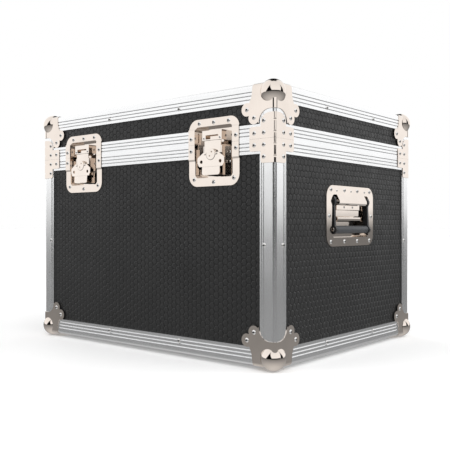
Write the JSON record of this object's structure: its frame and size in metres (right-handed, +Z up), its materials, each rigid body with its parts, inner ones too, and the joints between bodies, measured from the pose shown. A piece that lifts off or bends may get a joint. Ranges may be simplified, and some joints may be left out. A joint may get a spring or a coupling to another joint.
{
  "type": "flight case",
  "caption": "Box-shaped transport case of laminated boards in aluminium edging, with ball corners, a hinged lid, recessed butterfly latches and sprung side handles.",
  "frame": {"origin": "middle of the footprint on the surface that the bottom ball corners stand on", "axes": "+X to the right seen from the front (the side with the latches), +Y towards the back (the side with the hinges), +Z up"},
  "size_m": [0.6168, 0.492, 0.464],
  "materials": {
    "laminated_board": "charcoal laminate with a fine raised honeycomb, satin",
    "aluminium_profile": "bright anodised extrusion with fine grooves",
    "corner_steel": "zinc and nickel plated pressed steel, semi-gloss",
    "plated_steel": "zinc and nickel plated pressed steel, semi-gloss",
    "works_steel": "nickel plated steel, polished",
    "rivet_steel": "plated steel, semi-gloss",
    "black_steel": "black powder coat",
    "grip_rubber": "matt moulded rubber",
    "spring_steel": "bare spring wire"
  },
  "bodies": {
    "base": {"base_back_panel": "laminated_board", "base_ball_corners": "corner_steel", "base_bottom_edging": "aluminium_profile", "base_closure_profile": "aluminium_profile", "base_corner_braces": "corner_steel", "base_corner_edging": "aluminium_profile", "base_front_panel": "laminated_board", "base_left_panel": "laminated_board", "base_right_panel": "laminated_board", "base_rivets": "rivet_steel", "floor_panel": "laminated_board", "left_latch_lower_dish": "plated_steel", "left_latch_bracket": "works_steel", "left_handle_dish": "plated_steel", "left_handle_spring_cover": "plated_steel", "left_handle_spring": "spring_steel", "left_handle_axle": "works_steel", "left_hinge_base_leaf": "plated_steel", "left_hinge_pin": "works_steel", "right_latch_lower_dish": "plated_steel", "right_latch_bracket": "works_steel", "right_handle_dish": "plated_steel", "right_handle_spring_cover": "plated_steel", "right_handle_spring": "spring_steel", "right_handle_axle": "works_steel", "right_hinge_base_leaf": "plated_steel", "right_hinge_pin": "works_steel"},
    "lid": {"lid_back_panel": "laminated_board", "lid_ball_corners": "corner_steel", "lid_closure_profile": "aluminium_profile", "lid_corner_braces": "corner_steel", "lid_corner_edging": "aluminium_profile", "lid_front_panel": "laminated_board", "lid_left_panel": "laminated_board", "lid_right_panel": "laminated_board", "lid_rivets": "rivet_steel", "lid_top_edging": "aluminium_profile", "lid_top_panel": "laminated_board", "left_latch_upper_dish": "plated_steel", "left_latch_keeper": "works_steel", "left_hinge_lid_leaf": "plated_steel", "right_latch_upper_dish": "plated_steel", "right_latch_keeper": "works_steel", "right_hinge_lid_leaf": "plated_steel"},
    "left_latch_hub": {"left_latch_hub": "works_steel"},
    "left_latch_wing": {"left_latch_wing": "works_steel", "left_latch_wing_pin": "works_steel"},
    "left_latch_hook": {"left_latch_hook": "works_steel"},
    "left_handle": {"left_handle_bail": "black_steel", "left_handle_grip": "grip_rubber"},
    "right_latch_hub": {"right_latch_hub": "works_steel"},
    "right_latch_wing": {"right_latch_wing": "works_steel", "right_latch_wing_pin": "works_steel"},
    "right_latch_hook": {"right_latch_hook": "works_steel"},
    "right_handle": {"right_handle_bail": "black_steel", "right_handle_grip": "grip_rubber"}
  },
  "joints": [
    {"name": "lid_hinge", "type": "hinge", "parent": "base", "child": "lid", "pos_m": [0, 0.24125, 0.369], "axis": [-1, 0, 0], "range_deg": [0, 100]},
    {"name": "left_latch_turn", "type": "hinge", "parent": "base", "child": "left_latch_hub", "pos_m": [-0.17225, -0.2375, 0.351], "axis": [0, 1, 0], "range_deg": [0, 180]},
    {"name": "left_latch_wing_fold", "type": "hinge", "parent": "left_latch_hub", "child": "left_latch_wing", "pos_m": [-0.17225, -0.2425, 0.351], "axis": [-1, 0, 0], "range_deg": [0, 90]},
    {"name": "left_latch_pull", "type": "slide", "parent": "base", "child": "left_latch_hook", "axis": [0, 0, 1], "range_m": [0, 0.008]},
    {"name": "left_handle_swing", "type": "hinge", "parent": "base", "child": "left_handle", "pos_m": [-0.296, 0, 0.277], "axis": [0, 1, 0], "range_deg": [0, 90], "stiffness_Nm_per_rad": 0.15, "springref_deg": -34.38},
    {"name": "right_latch_turn", "type": "hinge", "parent": "base", "child": "right_latch_hub", "pos_m": [0.17225, -0.2375, 0.351], "axis": [0, 1, 0], "range_deg": [0, 180]},
    {"name": "right_latch_wing_fold", "type": "hinge", "parent": "right_latch_hub", "child": "right_latch_wing", "pos_m": [0.17225, -0.2425, 0.351], "axis": [-1, 0, 0], "range_deg": [0, 90]},
    {"name": "right_latch_pull", "type": "slide", "parent": "base", "child": "right_latch_hook", "axis": [0, 0, 1], "range_m": [0, 0.008]},
    {"name": "right_handle_swing", "type": "hinge", "parent": "base", "child": "right_handle", "pos_m": [0.296, 0, 0.277], "axis": [0, -1, 0], "range_deg": [0, 90], "stiffness_Nm_per_rad": 0.15, "springref_deg": -34.38}
  ],
  "couplings": [
    {"joint": "left_latch_pull", "follows": "left_latch_turn", "m_per_rad": 0.0025464},
    {"joint": "right_latch_pull", "follows": "right_latch_turn", "m_per_rad": 0.0025464}
  ]
}
